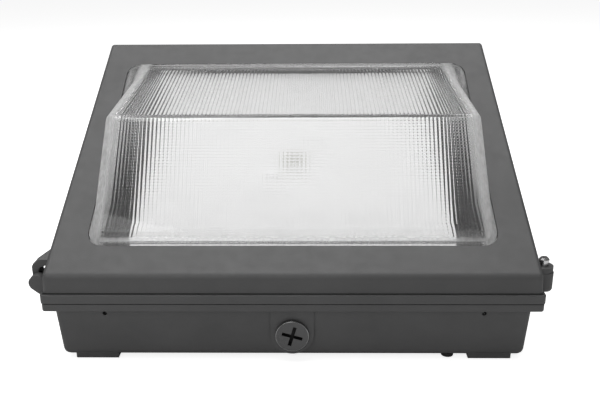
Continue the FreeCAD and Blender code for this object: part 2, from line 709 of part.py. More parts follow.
def tray_bracket(label, side):
    """Folded side bracket: a foot on the posts and a plate that follows the slope."""
    piece = Piece(label)
    outer = f"({side} * (tray_width / 2 - tray_metal))"
    low, high = "(0 - bracket_low)", "bracket_high"
    plate = polygon(piece.sketch("YZ", outer), [
        (low, POST_TOP), (high, POST_TOP), (high, slope(high, f"{TRAY_UNDER}")),
        (low, slope(low, f"{TRAY_UNDER}")),
    ])
    piece.pad(plate, "tray_metal", reverse=side > 0)
    foot = piece.sketch("XY", POST_TOP)
    rectangle(foot, *sorted_pair(f"{side} * (tray_width / 2 - 2 * tray_metal - foot_width)",
                                 f"{side} * (tray_width / 2 - tray_metal)", low, high, side))
    piece.pad(foot, "tray_metal")
    holes = piece.sketch("XY", f"{POST_TOP} + tray_metal")
    for y in ("16 - bracket_low", "bracket_high - 16"):
        circle(holes, f"{side} * {FOOT_AT}", y, "screw_radius + screw_fit")
    piece.cut(holes, "tray_metal")
    for up in tray_screw_ups():
        y = f"({NEAR_Y} + ({up}) * cos(face_angle) - {TRAY_SCREW_DROP} * sin(face_angle))"
        z = f"({NEAR_Z} + ({up}) * sin(face_angle) + {TRAY_SCREW_DROP} * cos(face_angle))"
        piece.cut(circle(piece.sketch("YZ", outer), y, z, "screw_radius + screw_fit"), "tray_metal",
                  reverse=side < 0)
    return keep(piece.body)


def light_source():
    """Plate, substrate and emitting disc, under and through the middle of the tray."""
    board = Piece("led_board", on_face=True)
    half = "board_width / 2"
    board.pad(rectangle(board.sketch("XY", f"0 - {TRAY_UNDER} - board_height"), f"0 - {half}",
                        f"{SOURCE_UP} - {half}", half, f"{SOURCE_UP} + {half}"), "board_height")
    recess = rectangle(board.sketch("XY", f"0 - {TRAY_UNDER}"), "0 - source_width / 2",
                       f"{SOURCE_UP} - source_width / 2", "source_width / 2",
                       f"{SOURCE_UP} + source_width / 2")
    board.cut(recess, "source_height")
    board_holes(board, f"0 - {TRAY_UNDER}", "board_height")
    keep(board.body)
    source = Piece("led_source", on_face=True)
    source.pad(rectangle(source.sketch("XY", f"0 - {TRAY_UNDER} - source_height"), "screw_fit - source_width / 2",
                         f"{SOURCE_UP} + screw_fit - source_width / 2", "source_width / 2 - screw_fit",
                         f"{SOURCE_UP} + source_width / 2 - screw_fit"), "source_height")
    source.pad(circle(source.sketch("XY", f"0 - {TRAY_UNDER}"), "0", SOURCE_UP,
                      "emitter_radius - screw_fit"), "tray_metal - emitter_height")
    keep(source.body)


# Door

def wedge(label, inset, drop, start):
    """Wedge with drafted walls, cut off along the slope of the door face."""
    piece = Piece(label)
    half_x, half_y = f"({DOOR_X} - {inset})", f"({DOOR_Y} - {inset})"
    low = centred(piece.sketch("XY", f"{DOOR_BASE} - {start}"), f"({half_x} + {start} * tan(door_draft))",
                  f"({half_y} + {start} * tan(door_draft))")
    piece.pad(low, f"{DOOR_RISE} + {start}")
    piece.draft("door_draft", widening=False)
    reach = "flange_depth"
    above = polygon(piece.sketch("YZ"), [
        (f"0 - {reach}", slope(f"0 - {reach}", drop)), (reach, slope(reach, drop)),
        (reach, slope(reach, f"{drop} - flange_depth")), (f"0 - {reach}", slope(reach, f"{drop} - flange_depth")),
    ])
    piece.cut(above, "2 * flange_width", midplane=True)
    return piece


def is_on_face(edge):
    """Whether an edge lies in the plane of the door face."""
    tilt = Rotation(Vector(1, 0, 0), value("face_angle")).multVec(Vector(0, 0, 1))
    origin = Vector(0, value(NEAR_Y), value(NEAR_Z))
    points = [edge.Vertexes[0].Point, middle(edge), edge.Vertexes[-1].Point]
    return all(abs((point - origin).dot(tilt)) < 1e-3 for point in points)


def door_arm(piece, side):
    """Knuckle and the arm that carries it, trimmed just under the door face."""
    x, z = f"0 - {HINGE_X}", HINGE_Z
    start = f"{-side} * (hinge_reach - hinge_clear)"
    inward = side < 0
    left = f"{x} - knuckle_radius"
    inner = f"{left} + arm_metal"
    root = f"wall / 2 + 0.7 - {DOOR_X}"
    arm = polygon(piece.sketch("XZ", start), [
        (left, z), (left, f"{z} + 10.5"), (f"{left} + 1.2", f"{z} + 12.8"), (root, f"{z} + 21.3"),
        (root, f"{z} + 12.3"), (f"{inner} + 1.6", f"{z} + 10"), (inner, f"{z} + 8"), (inner, z),
    ])
    piece.pad(arm, "knuckle_length", reverse=inward)
    piece.pad(circle(piece.sketch("XZ", start), x, z, "knuckle_radius"), "knuckle_length", reverse=inward)
    bore = circle(piece.sketch("XZ", start), x, z, "pin_radius + pin_fit")
    piece.cut(bore, "knuckle_length", reverse=not inward)


def trim_arm(piece):
    reach = "flange_depth"
    drop = "door_round / 2"
    above = polygon(piece.sketch("YZ"), [
        (f"0 - {reach}", slope(f"0 - {reach}", drop)), (reach, slope(reach, drop)),
        (reach, slope(reach, "0 - 2 * flange_depth")), (f"0 - {reach}", slope(reach, "0 - 2 * flange_depth")),
    ])
    piece.cut(above, "2 * flange_width", midplane=True)


def latch_ear(piece, side):
    """Flat ear over the housing lug, with a hole for the captive screw."""
    y = f"{side} * latch_reach"
    level = f"{LUG_TOP} + ear_gap"
    plate = piece.sketch("XY", level)
    rectangle(plate, f"{DOOR_X} - wall / 2 - 0.7", f"{y} - lug_radius", LATCH_X, f"{y} + lug_radius")
    piece.pad(plate, "ear_metal")
    piece.pad(circle(piece.sketch("XY", level), LATCH_X, y, "lug_radius"), "ear_metal")
    hole = circle(piece.sketch("XY", EAR_TOP), LATCH_X, y, "latch_thread + pin_fit")
    piece.cut(hole, "ear_metal")


def clip_places():
    """Boss axes of the lens clips on the door face, and the way each clip points."""
    quarter = "window_length / 4"
    sides = [(f"{side} * {CLIP_X}", f"window_start + {n} * {quarter}", (-side, 0))
             for side in (-1, 1) for n in (1, 3)]
    ends = [(f"{side} * window_width / 3.4", up, (0, way))
            for side in (-1, 1) for up, way in ((CLIP_LOW, 1), (CLIP_HIGH, -1))]
    return sides + ends


def door_frame():
    outer = wedge("door_outside", "0", "0", "0")
    low_edge = value(NEAR_Y)
    outer.round("near_round", lambda edge: is_on_face(edge) and near(middle(edge).y, low_edge))
    outer.round("door_round", lambda edge: is_upright(edge) or (
        is_on_face(edge) and middle(edge).y > low_edge + value("2 * near_round")))
    inner = wedge("door_inside", "wall", "wall", "1")
    shell = cut_from("door_shell", outer.body, [inner.body])
    pieces = [shell]
    for side, name in ((-1, "lower"), (1, "upper")):
        arm = Piece(f"{name}_door_arm")
        door_arm(arm, side)
        if side < 0:
            trim_arm(arm)
        ear = Piece(f"{name}_latch_ear")
        latch_ear(ear, side)
        pieces += [arm.body, ear.body]
    bosses = []
    for number, (x, up, way) in enumerate(clip_places(), 1):
        boss = Piece(f"clip_boss_{number}", on_face=True)
        boss.pad(circle(boss.sketch("XY", LENS_BOTTOM), x, up, "clip_boss"), f"0 - {LENS_BOTTOM} - wall / 2")
        boss.cut(circle(boss.sketch("XY", LENS_BOTTOM), x, up, "screw_radius + screw_fit"),
                 "gasket + glass", reverse=True)
        bosses.append(boss.body)
    window = Piece("window_cutter", on_face=True)
    window.pad(rectangle(window.sketch("XY", "0 - 2 * wall"), "0 - window_width / 2", "window_start",
                         "window_width / 2", WINDOW_END), "4 * wall")
    window.round("window_corner", is_upright)
    whole = joined("door_casting", pieces + bosses)
    return keep(cut_from("door_frame", whole, [window.body]))


def lens_form(label, inset, drop, base):
    """Dome of the lens: straight sides that close in up the slope, under a ridged profile."""
    piece = Piece(label)
    low, high = f"window_start + lens_clear + {inset}", f"{WINDOW_END} - lens_clear - {inset}"
    plan = polygon(piece.sketch("XY", base), [
        (f"{inset} - lens_low", low), (f"lens_low - {inset}", low),
        (f"lens_high - {inset}", high), (f"{inset} - lens_high", high),
    ])
    piece.pad(plan, f"ridge_height + 10 - {base}")
    piece.round(f"lens_corner - {inset}", is_upright)
    start, end = "window_start + lens_clear", f"{WINDOW_END} - lens_clear"
    top = "ridge_height + 20"
    above = polygon(piece.sketch("YZ"), [
        (f"{start} - 20", f"1 - {drop} - 20 * ridge_height / ridge_at"), (start, f"1 - {drop}"),
        ("window_start + ridge_at", f"ridge_height - {drop}"),
        ("window_start + brow_at", f"brow_height - {drop}"),
        (end, f"1 - {drop}"), (f"{end} + 20", f"1 - {drop} - 10"),
        (f"{end} + 20", top), (f"{start} - 20", top),
    ])
    piece.cut(above, "3 * lens_low", midplane=True)
    ridge_y, ridge_z = value("window_start + ridge_at"), value(f"ridge_height - {drop}")
    piece.round(f"ridge_round - {inset} / 4", lambda edge: (
        near(middle(edge).y, ridge_y) and near(middle(edge).z, ridge_z)))
    return piece


def lens():
    dome = lens_form("lens_dome", "0", "0", LENS_TOP)
    rim = Piece("lens_rim")
    rim.pad(rectangle(rim.sketch("XY", LENS_BOTTOM), f"0 - {LENS_RIM_X}", "window_start - lens_lip",
                      LENS_RIM_X, f"{WINDOW_END} + lens_lip"), "glass")
    rim.round("window_corner + lens_lip / 2", is_upright)
    neck = Piece("lens_neck")
    neck.pad(rectangle(neck.sketch("XY", LENS_BOTTOM), "lens_clear - window_width / 2",
                       "window_start + lens_clear", "window_width / 2 - lens_clear",
                       f"{WINDOW_END} - lens_clear"), f"0 - {LENS_BOTTOM} + 0.6")
    neck.round("window_corner - lens_clear", is_upright)
    hollow = lens_form("lens_hollow", "glass", "1.1 * glass", f"({LENS_BOTTOM} - 1)")
    solid = joined("lens_solid", [dome.body, rim.body, neck.body])
    whole = cut_from("lens", solid, [hollow.body])
    put_on_face(whole)
    return keep(whole)


def lens_gasket():
    piece = Piece("lens_gasket", on_face=True)
    drawing = piece.sketch("XY", LENS_TOP)
    edge = "(lens_lip - 0.5)"
    inner = f"({edge} - gasket_width)"
    for out in (edge, inner):
        rectangle(drawing, f"0 - window_width / 2 - {out}", f"window_start - {out}",
                  f"window_width / 2 + {out}", f"{WINDOW_END} + {out}")
    piece.pad(drawing, "gasket")
    return keep(piece.body)


def lens_clips():
    """Flat clips from the bosses over the rim of the glass."""
    solids = []
    reach = value("clip_offset + clip_grip")
    back, half, metal = value("clip_boss"), value("clip_width / 2"), value("clip_metal")
    for x, up, (way_x, way_up) in clip_places():
        centre = Vector(value(x), value(up), value(f"{LENS_BOTTOM} - clip_metal"))
        along = Vector(way_x, way_up, 0)
        across = Vector(-way_up, way_x, 0)
        corners = [centre - along * back - across * half, centre + along * reach - across * half,
                   centre + along * reach + across * half, centre - along * back + across * half]
        plate = Part.Face(Part.makePolygon(corners + corners[:1])).extrude(Vector(0, 0, metal))
        hole = Part.makeCylinder(value("screw_radius + screw_fit"), 3 * metal, centre - Vector(0, 0, metal))
        solids.append(plate.cut(hole))
    node = DOC.addObject("Part::Feature", "lens_clips")
    node.Shape = Part.makeCompound(solids)
    put_on_face(node)
    node.Label = "lens_clips"
    return keep(node)


# Fasteners

def screw(label, length):
    """Pan head screw: its head stands on z = 0, and the shank points down."""
    piece = Piece(label)
    piece.spin(polygon(piece.sketch("XZ"), [
        ("0", f"0 - ({length})"), ("screw_radius", f"0 - ({length})"), ("screw_radius", "0"), ("screw_head", "0"),
        ("screw_head", "0.5 * screw_head_height"), ("0.75 * screw_head", "screw_head_height"),
        ("0", "screw_head_height"),
    ]))
    return piece.body


def screws():
    post = screw("post_screw", "post_height - 1")
    feet = [f"{POST_TOP} + tray_metal"] * 4 + [f"{POST_TOP} + driver_wall"] * 2
    seats = [Placement(Vector(value(x), value(y), value(z)), Rotation())
             for (x, y), z in zip(post_places(), feet)]
    keep(copies("bracket_screws", post, seats[:4]))
    keep(copies("driver_screws", post, seats[4:]))
    sheet = screw("sheet_screw", "4 * tray_metal")
    turned = []
    for side in (-1, 1):
        for up in tray_screw_ups():
            point = on_face(f"{side} * tray_width / 2", up, TRAY_SCREW_DROP)
            turned.append(Placement(point, Rotation(Vector(0, 1, 0), side * 90)))
    keep(copies("tray_screws", sheet, turned))
    tilted = Rotation(Vector(1, 0, 0), value("face_angle"))
    plate = screw("plate_screw", "tray_metal + board_height")
    keep(copies("board_screws", plate, [
        Placement(on_face(x, up, "0 - tray_drop"), tilted) for x, up in board_screw_places()]))
    clip = screw("clip_screw", "gasket + glass + clip_metal - 1")
    down = Rotation(Vector(1, 0, 0), 180 + value("face_angle"))
    keep(copies("clip_screws", clip, [
        Placement(on_face(x, up, f"{LENS_BOTTOM} - clip_metal"), down) for x, up, way in clip_places()]))


def latch_screw(name, side):
    """Captive screw and the collar that holds it off the ear."""
    y = f"{side} * latch_reach"
    shank = f"latch_grip + ear_gap + ear_metal + collar_height"
    piece = Piece(f"{name}_latch_screw")
    piece.spin(polygon(piece.sketch("XZ"), [
        ("0", f"0 - ({shank})"), ("latch_thread - 0.6", f"0 - ({shank})"), ("latch_thread", f"0.8 - ({shank})"),
        ("latch_thread", "0"), ("latch_head", "0"), ("latch_head", "0.6 * latch_head_height"),
        ("0.72 * latch_head", "latch_head_height"), ("0", "latch_head_height"),
    ]))
    slot = rectangle(piece.sketch("XY", "latch_head_height"), "0 - 2 * latch_head", "0 - latch_slot / 2",
                     "2 * latch_head", "latch_slot / 2")
    piece.cut(slot, "latch_head_height / 2")
    collar = Piece(f"{name}_latch_collar")
    drawing = collar.sketch("XY", "0 - collar_height")
    circle(drawing, "0", "0", "collar_radius")
    circle(drawing, "0", "0", "latch_thread + pin_fit")
    collar.pad(drawing, "collar_height")
    for item in (piece.body, collar.body):
        item.setExpression("Placement.Base.x", tied(LATCH_X))
        item.setExpression("Placement.Base.y", tied(y))
        item.setExpression("Placement.Base.z", tied(f"{EAR_TOP} + collar_height"))
        keep(item)


def build():
    housing()
    perimeter_seal()
    conduit_plugs()
    hole_bung()
    for side, name in ((-1, "lower"), (1, "upper")):
        hinge_pin(f"{name}_hinge_pin", side)
        latch_screw(name, side)
    driver()
    tray()
    tray_bracket("left_tray_bracket", -1)
    tray_bracket("right_tray_bracket", 1)
    light_source()
    door_frame()
    lens()
    lens_gasket()
    lens_clips()
    screws()
    DOC.recompute()


def check():
    """Stops on any step that failed and on any sub-part that isn't a sound solid."""
    for item in DOC.Objects:
        if "Invalid" in item.State or "Error" in item.State:
            raise RuntimeError(f"{item.Label} failed: {item.State}")
    for item in PARTS:
        if item.Shape.isNull() or not item.Shape.isValid() or not item.Shape.Solids:
            raise RuntimeError(f"{item.Label} is not a sound solid")


def write():
    os.makedirs("parts", exist_ok=True)
    for item in PARTS:
        item.Shape.exportStep(f"parts/{item.Label}.step")
        print(item.Label, len(item.Shape.Solids), round(item.Shape.Volume, 1))


build()
check()
write()
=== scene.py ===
import math

import bmesh
import bpy
from mathutils import Matrix, Vector


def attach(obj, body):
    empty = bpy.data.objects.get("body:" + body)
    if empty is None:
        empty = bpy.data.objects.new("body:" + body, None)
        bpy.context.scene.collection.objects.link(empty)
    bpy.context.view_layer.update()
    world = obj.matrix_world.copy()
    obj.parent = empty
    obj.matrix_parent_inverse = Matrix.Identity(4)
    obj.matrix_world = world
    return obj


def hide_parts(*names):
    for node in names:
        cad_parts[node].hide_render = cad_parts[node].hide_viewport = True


# Wall pack light on its back.
# Lengths are in metres: +X right, -Y the lower edge, +Z out of the wall.

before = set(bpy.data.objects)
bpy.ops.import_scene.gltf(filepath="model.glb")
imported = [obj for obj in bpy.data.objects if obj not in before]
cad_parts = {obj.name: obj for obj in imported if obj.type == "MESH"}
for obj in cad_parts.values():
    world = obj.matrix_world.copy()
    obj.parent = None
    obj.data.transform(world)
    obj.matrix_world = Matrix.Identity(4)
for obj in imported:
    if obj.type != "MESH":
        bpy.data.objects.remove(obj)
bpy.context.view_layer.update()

# The door face, as part.py has it
FACE_LOW_Y = -0.117836
FACE_LOW_Z = 0.0721
FACE_SLOPE = math.radians(30.5)
WINDOW_START = 0.027
WINDOW_LENGTH = 0.2079
WINDOW_HALF = 0.1528
WINDOW_CLEAR = 0.0009


def face_matrix():
    """From the door face's own frame (x, up the slope, out of the face) to the object's."""
    return Matrix.Translation((0, FACE_LOW_Y, FACE_LOW_Z)) @ Matrix.Rotation(FACE_SLOPE, 4, "X")


# The prismatic glass, in the door face's frame: x across, up the slope, height out of the face
GLASS_WALL = 0.0035
GLASS_LOW = WINDOW_START + WINDOW_CLEAR
GLASS_HIGH = WINDOW_START + WINDOW_LENGTH - WINDOW_CLEAR
RIDGE_UP = WINDOW_START + 0.0918
RIDGE_OUT = 0.0455
RIDGE_BLEND = 0.0005
BROW_UP = WINDOW_START + 0.1892
BROW_OUT = 0.008
BROW_BLEND = 0.003
END_OUT = 0.001
NECK_OUT = 0.0006
NECK_HALF = WINDOW_HALF - WINDOW_CLEAR
NECK_CORNER = 0.0121
RIM_TOP = -0.0047
RIM_UNDER = -0.0082
RIM_LIP = 0.006
DOME_HALF_LOW = 0.1492
DOME_HALF_HIGH = 0.1387
DOME_CORNER = 0.012
LEAST_CORNER = 0.001
FLARE_HEIGHT = 0.006

# The rounding between roof and wall, which shrinks where the dome is low
SHOULDER = 0.0045
LEAST_SHOULDER = 0.0006
SHOULDER_SHARE = 0.4
SHOULDER_SPARE = 0.0012
# how far inside the outline the height of the roof's edge is read
EDGE_READ = 0.002
# how far the inner roof lies under the outer one, for each metre of wall
INNER_DROP = 1.1
# where the side's shoulder, wall and neck end, from the roof's edge at 0 to the rim's edge at 1
SHOULDER_END, WALL_END, NECK_END = 0.3, 0.7, 0.85

# Flutes run up the slope on the inside, and steps cross them below the ridge
FLUTE_PITCH = 0.0031
FLUTE_HALVES = 46
FLUTE_DEPTH = 0.00072
UPPER_FLUTE_DEPTH = 0.00034
UPPER_SIDE_DEPTH = 0.0006
UPPER_SIDE_START, UPPER_SIDE_SPAN = 0.6, 0.25
DEPTH_CHANGE = 0.002
STEP_PITCH = 0.0022
STEP_DEPTH = 0.00045
STEP_STOP = 0.003
# flutes keep their pitch out to this half width, over this share of the length
STEADY_HALF = 0.116
STEADY_LENGTH = 0.9
FADE_SHARE = 0.03

# Lines of the glass's grid: those of the walls and rim, then those of the roof
BORDER = 12
ROWS_LOW = 164
ROWS_HIGH = 24
FLUTE_COLUMNS = 4
RIDGE_LINES = (-0.0012, -0.00055, -0.00025, 0, 0.00025, 0.00055, 0.0012)
# the smooth outside has one line where the inside has this many
OUTSIDE_SHARE = 4
OUTSIDE_RIDGE_SHIFT = 3

# The glass's haze. Each ramp is (depth, depth, haze at the first, haze at the second), by how
# deep a point lies inside the dome's sides or the opening's outline.
GLASS_HAZE = 0.03
EDGE_HAZE = 0.8
SIDE_RAMPS = ((0.0085, 0.0045, 0, 1), (-0.005, -0.001, 0, 1))
BAND_RAMPS = ((0.0008, 0.002, 0, 0.5), (0.0035, 0.0065, 1, 0.3), (0.008, 0.013, 1, 0))
STREAK_SCALE = (420, 300, 70)
STREAK_LOW = 0.7


# Materials

# most of a noise pattern lies between these two
PATTERN_LOW, PATTERN_HIGH = 0.3, 0.7


def grey(level):
    return level, level, level


class Finish:
    """A material whose nodes read the Object coordinates of the piece."""

    def __init__(self, name, colour, roughness, metallic=0.0):
        self.material = bpy.data.materials.new(name)
        self.material.use_nodes = True
        self.nodes = self.material.node_tree.nodes
        self.links = self.material.node_tree.links
        self.shader = self.nodes["Principled BSDF"]
        self.output = self.nodes["Material Output"]
        self.shader.inputs["Base Color"].default_value = (*colour, 1)
        self.shader.inputs["Roughness"].default_value = roughness
        self.shader.inputs["Metallic"].default_value = metallic
        self.place = self.nodes.new("ShaderNodeTexCoord").outputs["Object"]

    def stretched(self, scale):
        mapping = self.nodes.new("ShaderNodeMapping")
        mapping.inputs["Scale"].default_value = scale
        self.links.new(self.place, mapping.inputs["Vector"])
        return mapping.outputs["Vector"]

    def noise(self, scale, detail=2.0, place=None):
        node = self.nodes.new("ShaderNodeTexNoise")
        node.inputs["Scale"].default_value = scale
        node.inputs["Detail"].default_value = detail
        self.links.new(place or self.place, node.inputs["Vector"])
        return node.outputs["Fac"]

    def tinted(self, pattern, dark, light):
        """A colour that follows a pattern between two colours."""
        node = self.nodes.new("ShaderNodeValToRGB")
        stops = node.color_ramp.elements
        for stop, place, colour in zip(stops, (PATTERN_LOW, PATTERN_HIGH), (dark, light)):
            stop.position = place
            stop.color = (*colour, 1)
        self.links.new(pattern, node.inputs["Fac"])
        return node.outputs["Color"]

    def mapped(self, value, low, high, low_value, high_value, clamp=True):
        """A value taken from one range to another."""
        node = self.nodes.new("ShaderNodeMapRange")
        node.clamp = clamp
        for name, limit in (("From Min", low), ("From Max", high),
                            ("To Min", low_value), ("To Max", high_value)):
            node.inputs[name].default_value = limit
        self.links.new(value, node.inputs["Value"])
        return node.outputs["Result"]

    def vary(self, pattern, low, high):
        """A number that follows a pattern between two limits."""
        return self.mapped(pattern, PATTERN_LOW, PATTERN_HIGH, low, high)

    def reckoned(self, operation, *values):
        node = self.nodes.new("ShaderNodeMath")
        node.operation = operation
        for socket, value in zip(node.inputs, values):
            self.links.new(value, socket)
        return node.outputs["Value"]

    def product(self, value, ramps):
        """The product of several ramps of one value."""
        whole, *others = (self.mapped(value, *ramp) for ramp in ramps)
        for other in others:
            whole = self.reckoned("MULTIPLY", whole, other)
        return whole

    def vector(self, operation, value, other=(0, 0, 0), output="Vector"):
        node = self.nodes.new("ShaderNodeVectorMath")
        node.operation = operation
        node.inputs[1].default_value = other
        self.links.new(value, node.inputs[0])
        return node.outputs[output]

    def mixed(self, first, second, share=None):
        """Two shaders in one, half and half where no share is given."""
        node = self.nodes.new("ShaderNodeMixShader")
        node.inputs["Fac"].default_value = 0.5
        if share:
            self.links.new(share, node.inputs["Fac"])
        self.links.new(first, node.inputs[1])
        self.links.new(second, node.inputs[2])
        return node.outputs[0]

    def bump(self, height, depth):
        node = self.nodes.new("ShaderNodeBump")
        node.inputs["Distance"].default_value = depth
        node.inputs["Strength"].default_value = 1.0
        self.links.new(height, node.inputs["Height"])
        self.links.new(node.outputs["Normal"], self.shader.inputs["Normal"])

    def drive(self, name, value):
        self.links.new(value, self.shader.inputs[name])


def surface(name, colour, roughness, tone, sheen, relief, metallic=0.0):
    """A finish with noise in it.

    tone is (scale, detail, dark, light), sheen is (scale, least roughness, most roughness) and
    relief is (scale, detail, depth).
    """
    finish = Finish(name, colour, roughness, metallic)
    tone_scale, tone_detail, dark, light = tone
    finish.drive("Base Color", finish.tinted(finish.noise(tone_scale, tone_detail), dark, light))
    sheen_scale, smooth, rough = sheen
    finish.drive("Roughness", finish.vary(finish.noise(sheen_scale), smooth, rough))
    relief_scale, relief_detail, depth = relief
    finish.bump(finish.noise(relief_scale, relief_detail), depth)
    return finish.material


def powder_coat(name, dark, light, roughness, pebble=0.00006):
    """Baked powder coat: a fine pebble, with slow changes of tone."""
    return surface(name, dark, roughness, tone=(26, 3, dark, light),
                   sheen=(140, roughness - 0.04, roughness + 0.05), relief=(1500, 2, pebble))


def plated_steel(name, colour, roughness=0.3):
    """Zinc plate: clouded, with a fine grain."""
    darker = tuple(0.75 * part for part in colour)
    return surface(name, colour, roughness, tone=(240, 3, darker, colour),
                   sheen=(900, roughness - 0.08, roughness + 0.1), relief=(2200, 1, 0.00002),
                   metallic=1.0)


def brushed_aluminium():
    """Bare sheet with brush marks along X."""
    finish = Finish("brushed aluminium", (0.7, 0.7, 0.72), 0.34, 1.0)
    marks = finish.noise(60, 3, finish.stretched((0.6, 40, 40)))
    finish.drive("Base Color", finish.tinted(marks, (0.56, 0.56, 0.58), (0.74, 0.74, 0.76)))
    finish.drive("Roughness", finish.vary(marks, 0.28, 0.42))
    finish.bump(marks, 0.00002)
    return finish.material


def glass_haze(finish):
    """How milky the glass is: a little all over, more in its side walls and round its outline."""
    parts = finish.nodes.new("ShaderNodeSeparateXYZ")
    finish.links.new(finish.place, parts.inputs["Vector"])
    from_middle = finish.reckoned("ABSOLUTE", parts.outputs["X"])
    slope = (0, math.cos(FACE_SLOPE), math.sin(FACE_SLOPE))
    up = finish.vector("DOT_PRODUCT", finish.place, slope, "Value")
    start = FACE_LOW_Y * math.cos(FACE_SLOPE) + FACE_LOW_Z * math.sin(FACE_SLOPE)
    half = finish.mapped(up, start + GLASS_LOW, start + GLASS_HIGH, DOME_HALF_LOW, DOME_HALF_HIGH,
                         clamp=False)
    side = finish.product(finish.reckoned("SUBTRACT", half, from_middle), SIDE_RAMPS)
    # how deep a point lies inside the opening's rounded outline
    middle = (GLASS_LOW + GLASS_HIGH) / 2
    along = finish.mapped(up, start, start + 1, -middle, 1 - middle, clamp=False)
    spot = finish.nodes.new("ShaderNodeCombineXYZ")
    finish.links.new(from_middle, spot.inputs["X"])
    finish.links.new(finish.reckoned("ABSOLUTE", along), spot.inputs["Y"])
    centre = (NECK_HALF - NECK_CORNER, (GLASS_HIGH - GLASS_LOW) / 2 - NECK_CORNER, 0)
    past = finish.vector("MAXIMUM", finish.vector("SUBTRACT", spot.outputs["Vector"], centre))
    reach = finish.vector("LENGTH", past, output="Value")
    inward = finish.mapped(reach, NECK_CORNER - 1, NECK_CORNER, 1, 0, clamp=False)
    edge = finish.reckoned("MAXIMUM", side, finish.product(inward, BAND_RAMPS))
    streaks = finish.vary(finish.noise(1, 2, finish.stretched(STREAK_SCALE)), STREAK_LOW, 1.0)
    edge = finish.reckoned("MULTIPLY", edge, streaks)
    return finish.mapped(edge, 0, 1, GLASS_HAZE, EDGE_HAZE)


def pressed_glass():
    """Clear pressed glass with a haze. Light that falls through it is not held back."""
    finish = Finish("pressed glass", grey(0.98), 0.03)
    finish.shader.inputs["Transmission Weight"].default_value = 1.0
    finish.shader.inputs["IOR"].default_value = 1.5
    finish.bump(finish.noise(90), 0.00003)
    whites = []
    for kind in ("ShaderNodeBsdfDiffuse", "ShaderNodeBsdfTranslucent"):
        white = finish.nodes.new(kind)
        white.inputs["Color"].default_value = (*grey(0.9), 1)
        whites.append(white.outputs[0])
    hazed = finish.mixed(finish.shader.outputs[0], finish.mixed(*whites), glass_haze(finish))
    straight = finish.nodes.new("ShaderNodeBsdfTransparent")
    straight.inputs["Color"].default_value = (*grey(0.95), 1)
    rays = finish.nodes.new("ShaderNodeLightPath").outputs
    passing = finish.reckoned("MAXIMUM", rays["Is Shadow Ray"], rays["Is Diffuse Ray"])
    finish.links.new(finish.mixed(hazed, straight.outputs[0], passing),
                     finish.output.inputs["Surface"])
    return finish.material


CAST_COAT = powder_coat("cast powder coat", (0.075, 0.075, 0.0755), (0.087, 0.087, 0.0875), 0.5)
PLUG_COAT = powder_coat("plug paint", (0.078, 0.078, 0.079), (0.09, 0.09, 0.091), 0.3, 0.00003)
PLUG_RIM = plated_steel("plug rim", grey(0.5), 0.2)
# Painted shade: near black for the walls and floor of the plugs' cross slots, where shade falls
SLOT_SHADE_PAINT = powder_coat("painted slot shade", grey(0.006), grey(0.009), 0.7, 0.00003)
ZINC = plated_steel("zinc plate", grey(0.72))
STEEL = plated_steel("bright steel", grey(0.8), 0.22)
SHEET = brushed_aluminium()
ENAMEL = surface("white enamel", grey(0.93), 0.28, tone=(30, 2, grey(0.91), grey(0.95)),
                 sheen=(120, 0.24, 0.34), relief=(420, 2, 0.00003))
RUBBER = surface("moulded rubber", grey(0.02), 0.75, tone=(160, 3, grey(0.014), grey(0.03)),
                 sheen=(300, 0.68, 0.84), relief=(1100, 2, 0.00004))
PHOSPHOR = surface("phosphor", (0.6, 0.6, 0.57), 0.5,
                   tone=(700, 2, (0.52, 0.52, 0.49), (0.64, 0.64, 0.6)),
                   sheen=(500, 0.4, 0.6), relief=(900, 2, 0.00003))
GLASS = pressed_glass()

NODE_FINISHES = {
    "housing": CAST_COAT, "door_frame": CAST_COAT, "lens": GLASS, "lens_gasket": RUBBER,
    "lens_clips": ZINC, "clip_screws": ZINC, "perimeter_seal": RUBBER,
    "lower_conduit_plug": PLUG_COAT, "left_conduit_plug": PLUG_COAT,
    "right_conduit_plug": PLUG_COAT,
    "lower_plug_washer": RUBBER, "left_plug_washer": RUBBER, "right_plug_washer": RUBBER,
    "hole_bung": RUBBER, "lower_hinge_pin": STEEL, "upper_hinge_pin": STEEL,
    "lower_latch_screw": STEEL, "upper_latch_screw": STEEL,
    "lower_latch_collar": STEEL, "upper_latch_collar": STEEL,
    "driver_case": SHEET, "driver_lid": SHEET, "driver_screws": ZINC,
    "led_tray": ENAMEL, "left_tray_bracket": ZINC, "right_tray_bracket": ZINC,
    "bracket_screws": ZINC, "tray_screws": ZINC, "board_screws": ZINC,
    "led_board": SHEET, "led_source": PHOSPHOR,
}
for node, material in NODE_FINISHES.items():
    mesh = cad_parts[node].data
    mesh.materials.clear()
    mesh.materials.append(material)


# The prismatic glass

def eased(share):
    share = max(0.0, min(1.0, share))
    return share * share * (3 - 2 * share)


def smooth_min(a, b, blend):
    """The lesser of two, rounded where they meet."""
    share = max(0.0, min(1.0, 0.5 + 0.5 * (b - a) / blend))
    return b + (a - b) * share - blend * share * (1 - share)


def wave(place, pitch):
    """From 0 to 1 and back, once in each pitch."""
    return 0.5 - 0.5 * math.cos(2 * math.pi * place / pitch)


def roof(up):
    """How far the middle of the glass stands out of the door face, up the slope."""
    front = END_OUT + (up - GLASS_LOW) * (RIDGE_OUT - END_OUT) / (RIDGE_UP - GLASS_LOW)
    back = RIDGE_OUT - (up - RIDGE_UP) * (RIDGE_OUT - BROW_OUT) / (BROW_UP - RIDGE_UP)
    end = END_OUT + (GLASS_HIGH - up) * (BROW_OUT - END_OUT) / (GLASS_HIGH - BROW_UP)
    return smooth_min(smooth_min(front, back, RIDGE_BLEND), end, BROW_BLEND)


